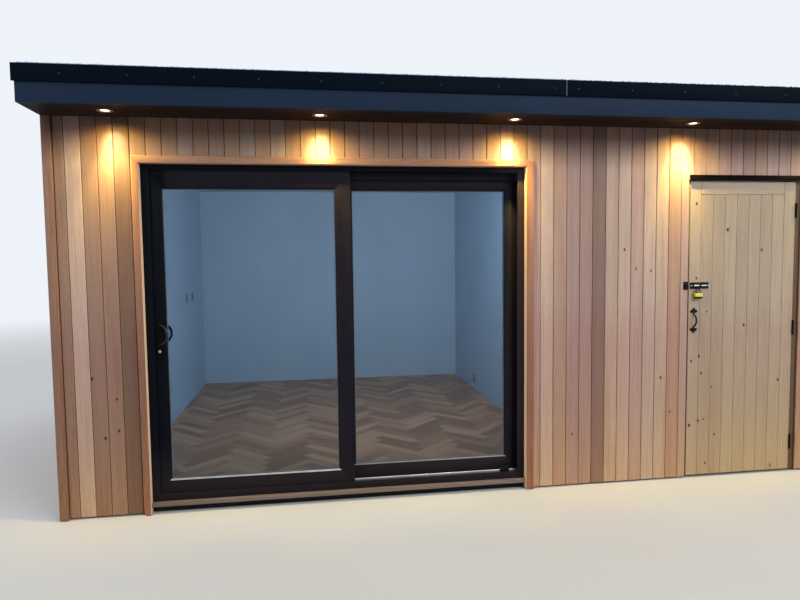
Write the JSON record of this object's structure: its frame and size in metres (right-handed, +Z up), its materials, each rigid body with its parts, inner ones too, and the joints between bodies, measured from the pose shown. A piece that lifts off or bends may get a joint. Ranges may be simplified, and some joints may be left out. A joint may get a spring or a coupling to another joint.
{
  "type": "garden office pod",
  "caption": "Flat roofed timber clad garden room with a glazed sliding door, a boarded store door beside it and a lit roof overhang along the front.",
  "frame": {"origin": "on the ground under the middle of the whole pod, centre of the underside of its bounding box", "axes": "+X along the front to the right as seen facing it, +Y from the front towards the back wall, +Z up"},
  "size_m": [5.408, 4.322, 2.512],
  "materials": {
    "base_timber": "dark treated timber floor base",
    "floor_wood": "herringbone wood floor, satin",
    "wall_lining": "painted lining board, pale grey blue",
    "cladding_wood": "upright red cedar boards, sawn finish, tones differ",
    "trim_wood": "planed red cedar",
    "sill_wood": "weathered brown hardwood",
    "door_wood": "knotty redwood boards, paler than the walls",
    "jamb_wood": "dark stained softwood",
    "soffit_wood": "dark brown stained boards",
    "vent_black": "black ribbed strip",
    "door_frame_grey": "powder coated anthracite, satin",
    "track_silver": "bare metal",
    "black_metal": "black, satin",
    "glass": "clear double glazing",
    "padlock_brass": "yellow body with a black lower edge",
    "lamp_warm": "warm white lit lens",
    "fascia_blue": "dark blue grey, satin",
    "kerb_black": "black blue, satin",
    "deck_board": "roof board and insulation",
    "roof_rubber": "black roofing sheet, leaf dusted",
    "gutter_black": "black",
    "socket_white": "white"
  },
  "bodies": {
    "pod": {"floor_base": "base_timber", "floor_finish": "floor_wood", "front_wall_piers": "wall_lining", "front_wall_lintels": "wall_lining", "side_walls": "wall_lining", "back_wall": "wall_lining", "partition_wall": "wall_lining", "ceiling": "wall_lining", "front_cladding": "cladding_wood", "side_cladding": "cladding_wood", "back_cladding": "cladding_wood", "corner_trims": "trim_wood", "slider_surround": "cladding_wood", "door_sill": "sill_wood", "vent_strip": "vent_black", "outer_frame": "door_frame_grey", "track_rail": "track_silver", "track_stop": "black_metal", "fixed_sash": "door_frame_grey", "fixed_glass": "glass", "store_door_frame": "jamb_wood", "frame_hinges": "black_metal", "bolt_keep": "black_metal", "drip_bar": "black_metal", "soffit": "soffit_wood", "soffit_lights": "lamp_warm", "fascia_boards": "fascia_blue", "kerb_trims": "kerb_black", "roof_deck": "deck_board", "roof_covering": "roof_rubber", "rear_gutter": "gutter_black", "downpipe": "gutter_black", "wall_sockets": "socket_white"},
    "sliding_door": {"sliding_sash": "door_frame_grey", "sliding_glass": "glass", "sash_rollers": "track_silver", "outside_handle": "black_metal", "inside_handle": "black_metal", "lock_cylinder": "track_silver"},
    "store_door": {"store_door_leaf": "door_wood", "door_hinges": "black_metal", "pull_handle": "black_metal", "bolt_plate": "black_metal", "padlock": "padlock_brass"},
    "bolt": {"bolt_rod": "track_silver"}
  },
  "joints": [
    {"name": "door_slide", "type": "slide", "parent": "pod", "child": "sliding_door", "axis": [1, 0, 0], "range_m": [0, 0.928]},
    {"name": "store_door_hinge", "type": "hinge", "parent": "pod", "child": "store_door", "pos_m": [2.004, -1.875, 0.994], "axis": [0, 0, 1], "range_deg": [0, 105]},
    {"name": "bolt_slide", "type": "slide", "parent": "store_door", "child": "bolt", "axis": [-1, 0, 0], "range_m": [0, 0.035]}
  ]
}
